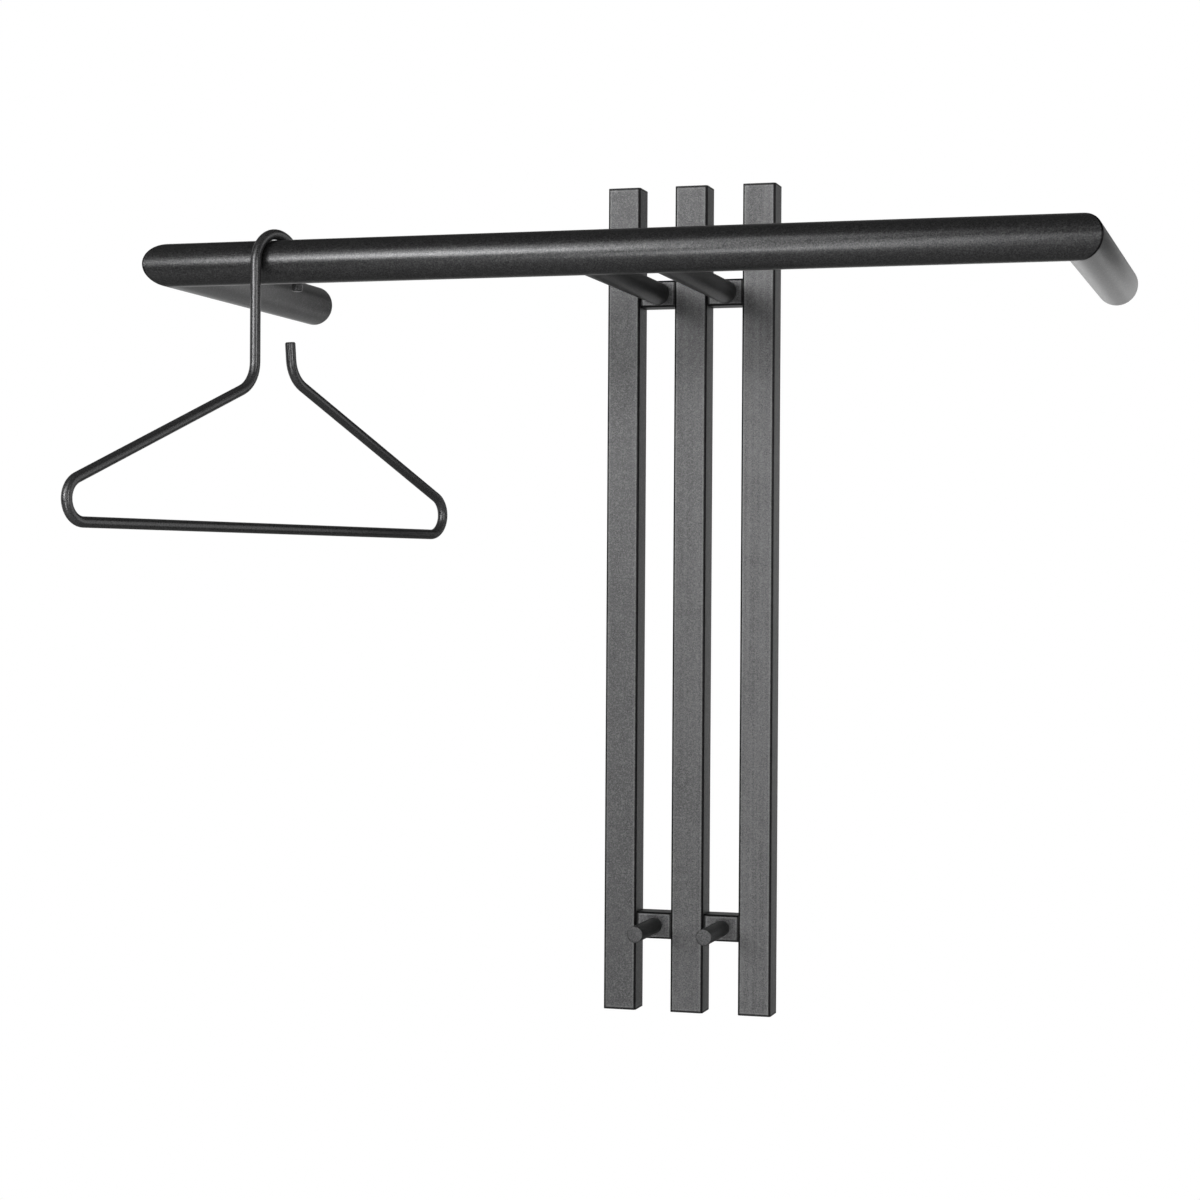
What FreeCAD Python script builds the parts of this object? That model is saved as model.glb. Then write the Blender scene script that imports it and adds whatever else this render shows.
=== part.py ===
import FreeCAD, Part
import math
import os
import re
import Sketcher
from FreeCAD import Vector

# Wall coat rack: three uprights on four short crossbars, a round rail that two mitred returns
# and two coped arms hold out from the wall, two pegs, and a bent-rod hanger on the rail.
# The origin is on the wall plane, behind the middle upright, at the height of the rail's axis.
# X runs along the rail, Y into the wall and Z up. Lengths are in millimetres.

SIZES = (
    ("upright_spacing", 52.0, "between the centres of neighbouring uprights"),
    ("upright_width", 25.0, "along the rail"),
    ("upright_depth", 23.0, "out from the wall"),
    ("upright_height", 620.0, "over both end plates"),
    ("upright_rise", 80.0, "from the rail's axis up to the uprights' top"),
    ("upright_wall", 1.5, "of the upright's tube"),
    ("upright_corner_radius", 2.0, "of the upright's long edges"),
    ("end_plate_thickness", 2.0, "of the plate that shows at an upright's end"),
    ("end_plate_spigot_depth", 3.0, "of the step that locates the plate in the tube"),
    ("end_plate_clearance", 0.2, "between that step and the tube, each side"),
    ("keyhole_inset", 40.0, "from an upright's end to the seat of its keyhole"),
    ("keyhole_entry_diameter", 9.5, "of the round hole for the screw's head"),
    ("keyhole_slot_width", 5.0, "of the slot for the screw's shank"),
    ("keyhole_slot_rise", 8.0, "from the round hole's centre up to the seat"),
    ("crossbar_size", 20.0, "of the square tube between the uprights"),
    ("crossbar_wall", 1.5, "of that tube"),
    ("crossbar_corner_radius", 2.0, "of its long edges"),
    ("lower_crossbar_rise", 64.0, "from the uprights' bottom up to the lower crossbars' axis"),
    ("rail_diameter", 30.0, "of the rail and the returns"),
    ("rail_wall", 1.5, "of their tube"),
    ("rail_span", 625.0, "between the axes of the two returns"),
    ("rail_projection", 260.0, "from the wall to the rail's axis"),
    ("return_plug_length", 15.0, "of the plug at a return's wall end"),
    ("stud_tap_diameter", 6.8, "of the plug's hole, tapped for a wall stud"),
    ("plug_clearance", 0.1, "between a plug and its tube, each side"),
    ("arm_diameter", 17.0, "of the arms between crossbars and rail"),
    ("arm_wall", 2.0, "of their tube"),
    ("arm_plug_length", 18.0, "of the threaded plug in an arm's rear end"),
    ("weld_gap", 0.2, "between a coped end and the tube it meets"),
    ("peg_diameter", 12.0, "of the round bar"),
    ("peg_length", 55.0, "out from the crossbar's face"),
    ("peg_chamfer", 0.6, "at the peg's front rim"),
    ("screw_diameter", 6.0, "of the screws' thread"),
    ("screw_length", 16.0, "under the head"),
    ("screw_chamfer", 0.8, "at the end of the thread"),
    ("screw_head_diameter", 10.5, "of the button head"),
    ("screw_head_height", 3.3, "of the button head"),
    ("screw_head_chamfer", 1.4, "of the head's rim"),
    ("screw_socket_width", 4.0, "across the flats of the hexagon socket"),
    ("screw_socket_depth", 2.0, "of the hexagon socket"),
    ("thread_clearance", 0.05, "between a screw and its threaded hole, each side"),
    ("thread_runout", 2.0, "of a blind threaded hole past the screw's end"),
    ("screw_hole_clearance", 0.3, "between a screw and a plain hole, each side"),
    ("head_access_clearance", 0.75, "between a screw's head and the hole it goes in by, each side"),
    ("rod_diameter", 7.2, "of the hanger's rod"),
    ("hook_side_room", 3.0, "between the rail and the hook's inside, each side"),
    ("hook_top_gap", 0.3, "between the rail's top and the hook's inside"),
    ("hook_tip_drop", 18.0, "from the rail's axis down to the hook's tip"),
    ("neck_drop", 84.3, "from the rail's axis down to the sharp corner of the neck's bend"),
    ("bar_drop", 182.9, "from the rail's axis down to the bottom bar's axis"),
    ("front_reach", 200.3, "from the hook's middle to the hanger's end in the room"),
    ("back_reach", 193.0, "from the hook's middle to the hanger's end near the wall"),
    ("corner_bend_radius", 14.5, "of the rod's axis at the hanger's two ends"),
    ("shoulder_bend_radius", 21.7, "of the rod's axis at the neck and at the free end"),
    ("free_bend_drop", 78.3, "from the rail's axis down to the sharp corner of the free end's bend"),
    ("free_bend_reach", 16.9, "from the hook's middle to that sharp corner"),
    ("free_tip_drop", 53.6, "from the rail's axis down to the free tip"),
    ("free_tip_reach", 14.6, "from the hook's middle to the free tip"),
    ("rod_chamfer", 0.8, "at both ends of the rod"),
    ("hanger_place", 233.0, "from the rack's middle to the hook, leftwards"),
    ("hanger_turn", 17.65, "degrees that the hanger is turned from square across the rail"),
    ("cut_overrun", 1.0, "of a cutting profile past the material"),
)

ALIASES = {name for name, value, note in SIZES}
WORD = re.compile(r"[a-z]+(?:_[a-z]+)+")

UPRIGHT_BOTTOM = "upright_rise - upright_height"
LOWER_CROSSBARS = f"{UPRIGHT_BOTTOM} + lower_crossbar_rise"

NORMAL = Vector(0, 0, 1)

# How the sketcher names a sketch's origin, a line's two ends and a circle's centre
ORIGIN = (-1, 1)
START, END, CENTRE = 1, 2, 3


def fill_sheet(doc):
    sheet = doc.addObject("Spreadsheet::Sheet", "Sizes")
    for row, (name, value, note) in enumerate(SIZES, start=1):
        sheet.set(f"A{row}", name.replace("_", " "))
        sheet.set(f"B{row}", str(value))
        sheet.setAlias(f"B{row}", name)
        sheet.set(f"C{row}", note)
    doc.recompute()
    return sheet


def formula(text):
    """Name the sheet in front of each size in a formula."""
    def named(match):
        word = match.group(0)
        if word not in ALIASES:
            raise ValueError(f"{word} is not in the sheet")
        return f"Sizes.{word}"
    return WORD.sub(named, text)


def bind(item, **formulas):
    """Bind properties of a feature to formulas of the sheet's sizes."""
    for name, text in formulas.items():
        item.setExpression(name, formula(text))


def new_body(doc, label, x="0", y="0", z="0", turned=None):
    body = doc.addObject("PartDesign::Body", label)
    body.Label = label
    if turned:
        body.Placement = FreeCAD.Placement(Vector(), turned)
    for axis, text in zip("xyz", (x, y, z)):
        body.setExpression(f"Placement.Base.{axis}", formula(text))
    return body


def origin_feature(body, role):
    return next(item for item in body.Origin.OriginFeatures if item.Role == role)


def new_sketch(body, name, role, offset=None):
    sketch = body.newObject("Sketcher::SketchObject", f"{body.Label}_{name}")
    sketch.AttachmentSupport = [(origin_feature(body, role), "")]
    sketch.MapMode = "FlatFace"
    if offset:
        sketch.setExpression("AttachmentOffset.Base.z", formula(offset))
    sketch.Visibility = False
    return sketch


def tie(sketch, kind, *places):
    """Add a constraint, in a list, so that the sketch isn't solved before it is complete."""
    return sketch.addConstraint([Sketcher.Constraint(kind, *places)])[0]


def measure(sketch, kind, *places, text):
    """Add a dimension whose value is a formula of the sheet's sizes."""
    number = tie(sketch, kind, *places, 1.0)
    sketch.setExpression(f"Constraints[{number}]", formula(text))


def locate(sketch, item, point, x="0", y="0"):
    """Place a point of the sketch from the sketch's own origin."""
    measure(sketch, "DistanceX", *ORIGIN, item, point, text=x)
    measure(sketch, "DistanceY", *ORIGIN, item, point, text=y)


def add_circle(sketch, diameter, x="0", y="0"):
    item = sketch.addGeometry(Part.Circle(Vector(), NORMAL, 1))
    locate(sketch, item, CENTRE, x, y)
    measure(sketch, "Diameter", item, text=diameter)
    return item


def add_loop(sketch, corners):
    """Join unit corners with lines, end to end."""
    lines = []
    for first, last in zip(corners, corners[1:] + corners[:1]):
        lines.append(sketch.addGeometry(Part.LineSegment(Vector(*first), Vector(*last))))
    for line, following in zip(lines, lines[1:] + lines[:1]):
        tie(sketch, "Coincident", line, END, following, START)
    return lines


def add_rectangle(sketch, width, height):
    """A rectangle centred on the sketch's origin."""
    bottom, right, top, left = add_loop(sketch, [(-1, -1), (1, -1), (1, 1), (-1, 1)])
    for line in (bottom, top):
        tie(sketch, "Horizontal", line)
    for line in (right, left):
        tie(sketch, "Vertical", line)
    tie(sketch, "Symmetric", bottom, START, top, START, *ORIGIN)
    measure(sketch, "DistanceX", bottom, START, bottom, END, text=width)
    measure(sketch, "DistanceY", right, START, right, END, text=height)


def add_mitre_triangle(sketch, side, corner_x, corner_y, leg):
    """A right triangle with its square corner at the given place and both legs pointing back."""
    across, slope, along = add_loop(sketch, [(0, 0), (-side, 0), (0, -1)])
    tie(sketch, "Horizontal", across)
    tie(sketch, "Vertical", along)
    locate(sketch, across, START, corner_x, corner_y)
    measure(sketch, "Distance", across, text=leg)
    measure(sketch, "Distance", along, text=leg)


def add_hexagon(sketch, across_flats):
    """A regular hexagon about the sketch's origin, with two of its sides upright."""
    corners = [(math.sin(turn), math.cos(turn)) for turn in (math.pi * step / 3 for step in range(6))]
    lines = add_loop(sketch, corners)
    rim = add_circle(sketch, f"({across_flats}) / cos(30 deg)")
    sketch.setConstruction(rim, True)
    for line in lines:
        tie(sketch, "PointOnObject", line, START, rim)
    for line in lines[1:]:
        tie(sketch, "Equal", lines[0], line)
    tie(sketch, "Vertical", lines[1])


def pad(body, name, sketch, length, reverse=False, both_ways=False):
    item = body.newObject("PartDesign::Pad", f"{body.Label}_{name}")
    item.Profile = sketch
    item.Reversed = reverse
    if both_ways:
        item.SideType = "Symmetric"
    bind(item, Length=length)
    return item


def cut(body, name, sketch, depth=None, reverse=False, both_ways=False):
    """A pocket, through all unless it is given a depth."""
    item = body.newObject("PartDesign::Pocket", f"{body.Label}_{name}")
    item.Profile = sketch
    item.Reversed = reverse
    if both_ways:
        item.SideType = "Symmetric"
    if depth:
        bind(item, Length=depth)
    else:
        item.Type = "ThroughAll"
    return item


def dress(body, kind, name, base, wanted, size):
    """Fillet or chamfer the edges of a feature that a test picks out."""
    body.Document.recompute()
    edges = [f"Edge{number}" for number, edge in enumerate(base.Shape.Edges, start=1) if wanted(edge)]
    if not edges:
        raise RuntimeError(f"{body.Label}: no edge for {name}")
    item = body.newObject(f"PartDesign::{kind}", f"{body.Label}_{name}")
    item.Base = (base, edges)
    bind(item, **{"Radius" if kind == "Fillet" else "Size": size})
    return item


def runs_along(direction):
    def wanted(edge):
        return isinstance(edge.Curve, Part.Line) and abs(edge.Curve.Direction.dot(direction)) > 0.999
    return wanted


def is_rim(radius, centre):
    """Pick the circle of that radius about that point of its body."""
    def wanted(edge):
        if not isinstance(edge.Curve, Part.Circle):
            return False
        return math.isclose(edge.Curve.Radius, radius, rel_tol=1e-4) and edge.Curve.Center.isEqual(centre, 1e-4)
    return wanted


# Uprights and their end plates

def make_upright(doc, name, place, keyholes):
    body = new_body(
        doc, name,
        x=f"{place} * upright_spacing",
        y="-upright_depth / 2",
        z=f"{UPRIGHT_BOTTOM} + end_plate_thickness")
    outline = new_sketch(body, "outline", "XY_Plane")
    add_rectangle(outline, "upright_width", "upright_depth")
    blank = pad(body, "blank", outline, "upright_height - 2 * end_plate_thickness")
    dress(body, "Fillet", "long_edges", blank, runs_along(NORMAL), "upright_corner_radius")
    inside = new_sketch(body, "inside", "XY_Plane")
    add_rectangle(inside, "upright_width - 2 * upright_wall", "upright_depth - 2 * upright_wall")
    cut(body, "bore", inside, reverse=True)
    if keyholes:
        cut_keyholes(body)
    return body


def cut_keyholes(body):
    """Two keyholes in the wall side: a round entry, and above it a slot with a round seat."""
    seat = "keyhole_inset - end_plate_thickness"
    entry_sketch = new_sketch(body, "keyhole_entry_outline", "XZ_Plane")
    add_circle(entry_sketch, "keyhole_entry_diameter", y=f"{seat} - keyhole_slot_rise")
    entry = cut(body, "keyhole_entry", entry_sketch)

    slot_sketch = new_sketch(body, "keyhole_slot_outline", "XZ_Plane")
    arc = slot_sketch.addGeometry(Part.ArcOfCircle(Part.Circle(Vector(0, 1), NORMAL, 1), 0, math.pi))
    left = slot_sketch.addGeometry(Part.LineSegment(Vector(-1, 1), Vector(-1, 0)))
    bottom = slot_sketch.addGeometry(Part.LineSegment(Vector(-1, 0), Vector(1, 0)))
    right = slot_sketch.addGeometry(Part.LineSegment(Vector(1, 0), Vector(1, 1)))
    tie(slot_sketch, "Tangent", arc, END, left, START)
    tie(slot_sketch, "Coincident", left, END, bottom, START)
    tie(slot_sketch, "Coincident", bottom, END, right, START)
    tie(slot_sketch, "Tangent", right, END, arc, START)
    tie(slot_sketch, "Vertical", left)
    tie(slot_sketch, "Horizontal", bottom)
    locate(slot_sketch, arc, CENTRE, y=seat)
    measure(slot_sketch, "Radius", arc, text="keyhole_slot_width / 2")
    measure(slot_sketch, "DistanceY", left, END, arc, CENTRE, text="keyhole_slot_rise")
    slot = cut(body, "keyhole_slot", slot_sketch)

    body.Document.recompute()
    pattern = body.newObject("PartDesign::LinearPattern", f"{body.Label}_keyholes")
    pattern.Originals = [entry, slot]
    pattern.Direction = (origin_feature(body, "Z_Axis"), [""])
    pattern.Occurrences = 2
    bind(pattern, Length="upright_height - 2 * keyhole_inset")
    body.Tip = pattern


def make_end_plate(doc, name, place, at_top):
    """A plate flush with the tube's outside, with a step on its back that sits in the tube."""
    body = new_body(
        doc, name,
        x=f"{place} * upright_spacing",
        y="-upright_depth / 2",
        z="upright_rise" if at_top else UPRIGHT_BOTTOM,
        turned=None if at_top else FreeCAD.Rotation(Vector(0, 1, 0), 180))
    outline = new_sketch(body, "outline", "XY_Plane", offset="-end_plate_thickness")
    add_rectangle(outline, "upright_width", "upright_depth")
    plate = pad(body, "plate", outline, "end_plate_thickness")
    dress(body, "Fillet", "corners", plate, runs_along(NORMAL), "upright_corner_radius")
    step = new_sketch(body, "step", "XY_Plane", offset="-end_plate_thickness")
    add_rectangle(
        step,
        "upright_width - 2 * upright_wall - 2 * end_plate_clearance",
        "upright_depth - 2 * upright_wall - 2 * end_plate_clearance")
    pad(body, "spigot", step, "end_plate_spigot_depth", reverse=True)
    return body


# Crossbars between the uprights

def make_crossbar(doc, name, place, height):
    """A short square tube, drilled from behind so that a screw's head passes its back wall."""
    body = new_body(doc, name, x=f"{place} * upright_spacing", y="-crossbar_size / 2", z=height)
    outline = new_sketch(body, "outline", "YZ_Plane")
    add_rectangle(outline, "crossbar_size", "crossbar_size")
    blank = pad(body, "blank", outline, "upright_spacing - upright_width", both_ways=True)
    dress(body, "Fillet", "long_edges", blank, runs_along(Vector(1, 0, 0)), "crossbar_corner_radius")
    inside = new_sketch(body, "inside", "YZ_Plane")
    add_rectangle(inside, "crossbar_size - 2 * crossbar_wall", "crossbar_size - 2 * crossbar_wall")
    cut(body, "bore", inside, both_ways=True)
    front = new_sketch(body, "screw_hole_outline", "XZ_Plane")
    add_circle(front, "screw_diameter + 2 * screw_hole_clearance")
    cut(body, "screw_hole", front, reverse=True)
    back = new_sketch(body, "access_hole_outline", "XZ_Plane")
    add_circle(back, "screw_head_diameter + 2 * head_access_clearance")
    cut(body, "access_hole", back)
    return body


# Rail and returns

def add_tube_outline(sketch, diameter, wall):
    add_circle(sketch, diameter)
    add_circle(sketch, f"{diameter} - 2 * {wall}")


def make_rail(doc):
    """The rail's tube, cut at 45 degrees at one end and mirrored to the other."""
    body = new_body(doc, "front_rail", y="-rail_projection")
    outline = new_sketch(body, "outline", "YZ_Plane")
    add_tube_outline(outline, "rail_diameter", "rail_wall")
    pad(body, "tube", outline, "rail_span + rail_diameter", both_ways=True)
    triangle = new_sketch(body, "mitre_outline", "XY_Plane")
    add_mitre_triangle(
        triangle, 1,
        corner_x="rail_span / 2 + rail_diameter / 2 + cut_overrun",
        corner_y="rail_diameter / 2 + cut_overrun",
        leg="rail_diameter + 2 * cut_overrun")
    mitre = cut(body, "mitre", triangle, both_ways=True)
    body.Document.recompute()
    mirrored = body.newObject("PartDesign::Mirrored", "front_rail_other_mitre")
    mirrored.Originals = [mitre]
    mirrored.MirrorPlane = (origin_feature(body, "YZ_Plane"), [""])
    body.Tip = mirrored
    return body


def make_return(doc, name, side):
    """A return runs from the wall to the rail, where its outer side is cut away at 45 degrees."""
    body = new_body(doc, name, x=f"{side} * rail_span / 2")
    outline = new_sketch(body, "outline", "XZ_Plane")
    add_tube_outline(outline, "rail_diameter", "rail_wall")
    pad(body, "tube", outline, "rail_projection + rail_diameter / 2")
    triangle = new_sketch(body, "mitre_outline", "XY_Plane")
    across, slope, along = add_loop(triangle, [(-side, -1), (side, -1), (-side, 1)])
    tie(triangle, "Horizontal", across)
    tie(triangle, "Vertical", along)
    locate(
        triangle, across, START,
        x=f"{-side} * (rail_diameter / 2 + cut_overrun)",
        y="-(rail_projection + rail_diameter / 2 + cut_overrun)")
    for leg in (across, along):
        measure(triangle, "Distance", leg, text="rail_diameter + 2 * cut_overrun")
    cut(body, "mitre", triangle, both_ways=True)
    return body


def make_return_plug(doc, name, side):
    """A turned plug, flush with the return's wall end, tapped for a stud in the wall."""
    body = new_body(doc, name, x=f"{side} * rail_span / 2")
    outline = new_sketch(body, "outline", "XZ_Plane")
    add_circle(outline, "rail_diameter - 2 * rail_wall - 2 * plug_clearance")
    add_circle(outline, "stud_tap_diameter")
    pad(body, "blank", outline, "return_plug_length")
    return body


# Arms, pegs and their screws

def make_arm(doc, name, place):
    """An arm stands on a crossbar's face, and its front end is coped to the rail."""
    body = new_body(doc, name, x=f"{place} * upright_spacing", y="-crossbar_size")
    outline = new_sketch(body, "outline", "XZ_Plane")
    add_tube_outline(outline, "arm_diameter", "arm_wall")
    pad(body, "tube", outline, "rail_projection - crossbar_size")
    rail_outline = new_sketch(body, "cope_outline", "YZ_Plane")
    add_circle(rail_outline, "rail_diameter + 2 * weld_gap", x="-(rail_projection - crossbar_size)")
    cut(body, "cope", rail_outline, both_ways=True)
    return body


def make_arm_plug(doc, name, place):
    body = new_body(doc, name, x=f"{place} * upright_spacing", y="-crossbar_size")
    outline = new_sketch(body, "outline", "XZ_Plane")
    add_circle(outline, "arm_diameter - 2 * arm_wall - 2 * plug_clearance")
    add_circle(outline, "screw_diameter + 2 * thread_clearance")
    pad(body, "blank", outline, "arm_plug_length")
    return body


def make_peg(doc, name, place, sheet):
    body = new_body(
        doc, name,
        x=f"{place} * upright_spacing",
        y="-crossbar_size",
        z=LOWER_CROSSBARS)
    outline = new_sketch(body, "outline", "XZ_Plane")
    add_circle(outline, "peg_diameter")
    bar = pad(body, "bar", outline, "peg_length")
    front_rim = is_rim(sheet.peg_diameter / 2, Vector(0, -sheet.peg_length, 0))
    dress(body, "Chamfer", "front_rim", bar, front_rim, "peg_chamfer")
    hole = new_sketch(body, "thread_outline", "XZ_Plane")
    add_circle(hole, "screw_diameter + 2 * thread_clearance")
    cut(body, "thread", hole, depth="screw_length - crossbar_wall + thread_runout", reverse=True)
    return body


def make_screws(doc, name, height, sheet):
    """Two button-head screws, their heads against the inside of the crossbars' front walls."""
    body = new_body(doc, name, x="-upright_spacing / 2", y="crossbar_wall - crossbar_size", z=height)
    head_outline = new_sketch(body, "head_outline", "XZ_Plane")
    add_circle(head_outline, "screw_head_diameter")
    head = pad(body, "head", head_outline, "screw_head_height", reverse=True)
    back_rim = is_rim(sheet.screw_head_diameter / 2, Vector(0, sheet.screw_head_height, 0))
    dress(body, "Chamfer", "head_rim", head, back_rim, "screw_head_chamfer")
    shank_outline = new_sketch(body, "shank_outline", "XZ_Plane")
    add_circle(shank_outline, "screw_diameter")
    shank = pad(body, "shank", shank_outline, "screw_length")
    end_rim = is_rim(sheet.screw_diameter / 2, Vector(0, -sheet.screw_length, 0))
    dress(body, "Chamfer", "thread_end", shank, end_rim, "screw_chamfer")
    socket_outline = new_sketch(body, "socket_outline", "XZ_Plane", offset="-screw_head_height")
    add_hexagon(socket_outline, "screw_socket_width")
    cut(body, "socket", socket_outline, depth="screw_socket_depth", reverse=True)
    body.Document.recompute()
    pair = body.newObject("PartDesign::LinearPattern", f"{name}_pair")
    pair.TransformMode = "Whole shape"
    pair.Direction = (origin_feature(body, "X_Axis"), [""])
    pair.Occurrences = 2
    bind(pair, Length="upright_spacing")
    body.Tip = pair
    return body


# Hanger

def sharp_corner(start, centre, radius, turn):
    """Where a line from start, laid against a circle, meets the level line under the circle."""
    gap = centre.sub(start)
    heading = math.atan2(gap.y, gap.x) + turn * math.asin(radius / gap.Length)
    bottom = centre.y - radius
    return Vector(start.x + (bottom - start.y) / math.tan(heading), bottom)


def rounded_corner(before, corner, after, radius):
    """The arc that rounds a corner, with the points where it leaves the two runs."""
    towards_before = before.sub(corner).normalize()
    towards_after = after.sub(corner).normalize()
    half = towards_before.getAngle(towards_after) / 2
    tangent = radius / math.tan(half)
    first = corner.add(towards_before.multiply(tangent))
    last = corner.add(towards_after.multiply(tangent))
    middle_way = first.add(last).multiply(0.5).sub(corner).normalize()
    centre = corner.add(middle_way.multiply(radius / math.sin(half)))
    return first, last, centre


def arc_between(first, last, centre):
    """An arc of less than half a turn, and whether it runs the way that the path does."""
    radius = first.distanceToPoint(centre)
    start = math.atan2(first.y - centre.y, first.x - centre.x)
    end = math.atan2(last.y - centre.y, last.x - centre.x)
    forwards = (end - start) % (2 * math.pi) < math.pi
    if not forwards:
        start, end = end, start
    return Part.ArcOfCircle(Part.Circle(centre, NORMAL, radius), start, end), forwards


def draw_rod_path(sketch, sheet):
    """The rod's axis, from the hook's tip round to the free tip, x across the rail and y up."""
    rod_radius = sheet.rod_diameter / 2
    leg = sheet.rail_diameter / 2 + sheet.hook_side_room + rod_radius
    hook_height = sheet.hook_top_gap - sheet.hook_side_room
    corner_height = sheet.corner_bend_radius - sheet.bar_drop
    front_centre = Vector(rod_radius + sheet.corner_bend_radius - sheet.front_reach, corner_height)
    back_centre = Vector(sheet.back_reach - rod_radius - sheet.corner_bend_radius, corner_height)
    neck = Vector(-leg, -sheet.neck_drop)
    free_bend = Vector(sheet.free_bend_reach, -sheet.free_bend_drop)
    corners = [
        Vector(-leg, hook_height),
        neck,
        sharp_corner(neck, front_centre, sheet.corner_bend_radius, -1),
        sharp_corner(free_bend, back_centre, sheet.corner_bend_radius, 1),
        free_bend,
        Vector(sheet.free_tip_reach, -sheet.free_tip_drop),
    ]
    radii = [
        ("shoulder_bend_radius", sheet.shoulder_bend_radius),
        ("corner_bend_radius", sheet.corner_bend_radius),
        ("corner_bend_radius", sheet.corner_bend_radius),
        ("shoulder_bend_radius", sheet.shoulder_bend_radius),
    ]

    tip_run = sketch.addGeometry(Part.LineSegment(Vector(leg, -sheet.hook_tip_drop), Vector(leg, hook_height)))
    hook_circle = Part.Circle(Vector(0, hook_height), NORMAL, leg)
    hook = sketch.addGeometry(Part.ArcOfCircle(hook_circle, 0, math.pi))
    tie(sketch, "Tangent", tip_run, END, hook, START)

    runs = []
    bends = []
    reached = corners[0]
    joint = (hook, END)
    for before, corner, after, (name, radius) in zip(corners, corners[1:], corners[2:], radii):
        first, last, centre = rounded_corner(before, corner, after, radius)
        run = sketch.addGeometry(Part.LineSegment(reached, first))
        shape, forwards = arc_between(first, last, centre)
        bend = sketch.addGeometry(shape)
        tie(sketch, "Tangent", *joint, run, START)
        tie(sketch, "Tangent", run, END, bend, START if forwards else END)
        measure(sketch, "Radius", bend, text=name)
        runs.append(run)
        bends.append(bend)
        reached = last
        joint = (bend, END if forwards else START)
    free_run = sketch.addGeometry(Part.LineSegment(reached, corners[-1]))
    tie(sketch, "Tangent", *joint, free_run, START)
    neck_run, front_shoulder, bar, back_shoulder = runs

    tie(sketch, "Vertical", tip_run)
    tie(sketch, "Vertical", neck_run)
    tie(sketch, "Horizontal", bar)
    rail_radius_and_room = "rail_diameter / 2 + hook_side_room + rod_diameter / 2"
    locate(sketch, hook, CENTRE, y="hook_top_gap - hook_side_room")
    measure(sketch, "Radius", hook, text=rail_radius_and_room)
    measure(sketch, "DistanceY", tip_run, START, *ORIGIN, text="hook_tip_drop")
    for corner, x, y, sides in (
            (neck, f"-({rail_radius_and_room})", "-neck_drop", (front_shoulder,)),
            (free_bend, "free_bend_reach", "-free_bend_drop", (back_shoulder, free_run))):
        point = sketch.addGeometry(Part.Point(corner), True)
        locate(sketch, point, START, x, y)
        for side in sides:
            tie(sketch, "PointOnObject", point, START, side)
    measure(sketch, "DistanceY", bar, START, *ORIGIN, text="bar_drop")
    end_inset = "- rod_diameter / 2 - corner_bend_radius"
    measure(sketch, "DistanceX", bends[1], CENTRE, *ORIGIN, text=f"front_reach {end_inset}")
    measure(sketch, "DistanceX", *ORIGIN, bends[2], CENTRE, text=f"back_reach {end_inset}")
    locate(sketch, free_run, END, "free_tip_reach", "-free_tip_drop")


def make_hanger(doc, sheet):
    """One rod bent in a plane: a hook over the rail, a neck, two shoulders, a bar and a free end."""
    body = new_body(
        doc, "hanger",
        x="-hanger_place",
        y="-rail_projection",
        turned=FreeCAD.Rotation(NORMAL, 90))
    body.setExpression("Placement.Rotation.Angle", formula("90 - hanger_turn"))
    path = new_sketch(body, "path", "XZ_Plane")
    draw_rod_path(path, sheet)
    section = new_sketch(body, "section", "XY_Plane", offset="-hook_tip_drop")
    add_circle(section, "rod_diameter", x="rail_diameter / 2 + hook_side_room + rod_diameter / 2")
    rod = body.newObject("PartDesign::AdditivePipe", "hanger_rod")
    rod.Profile = section
    rod.Spine = path
    body.Document.recompute()

    length = path.Shape.Length
    area = math.pi * (sheet.rod_diameter / 2) ** 2
    print("hanger rod", round(length, 1), "mm long, volume over section and length",
          round(rod.Shape.Volume / (area * length), 5))
    leg = sheet.rail_diameter / 2 + sheet.hook_side_room + sheet.rod_diameter / 2
    hook_tip = is_rim(sheet.rod_diameter / 2, Vector(leg, 0, -sheet.hook_tip_drop))
    free_tip = is_rim(sheet.rod_diameter / 2, Vector(sheet.free_tip_reach, 0, -sheet.free_tip_drop))
    dress(body, "Chamfer", "ends", rod, lambda edge: hook_tip(edge) or free_tip(edge), "rod_chamfer")
    return body


# The whole rack

def build(doc, sheet):
    bodies = []
    for side, place in (("left", -1), ("middle", 0), ("right", 1)):
        bodies.append(make_upright(doc, f"upright_{side}", place, keyholes=place != 0))
        bodies.append(make_end_plate(doc, f"upright_{side}_top_plate", place, at_top=True))
        bodies.append(make_end_plate(doc, f"upright_{side}_bottom_plate", place, at_top=False))
    bodies.append(make_rail(doc))
    for side, sign in (("left", -1), ("right", 1)):
        gap = sign / 2
        bodies.append(make_crossbar(doc, f"crossbar_upper_{side}", gap, "0"))
        bodies.append(make_crossbar(doc, f"crossbar_lower_{side}", gap, LOWER_CROSSBARS))
        bodies.append(make_return(doc, f"return_{side}", sign))
        bodies.append(make_return_plug(doc, f"return_plug_{side}", sign))
        bodies.append(make_arm(doc, f"arm_{side}", gap))
        bodies.append(make_arm_plug(doc, f"arm_plug_{side}", gap))
        bodies.append(make_peg(doc, f"peg_{side}", gap, sheet))
    bodies.append(make_screws(doc, "arm_screws", "0", sheet))
    bodies.append(make_screws(doc, "peg_screws", LOWER_CROSSBARS, sheet))
    bodies.append(make_hanger(doc, sheet))
    doc.recompute()
    return bodies


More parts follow.
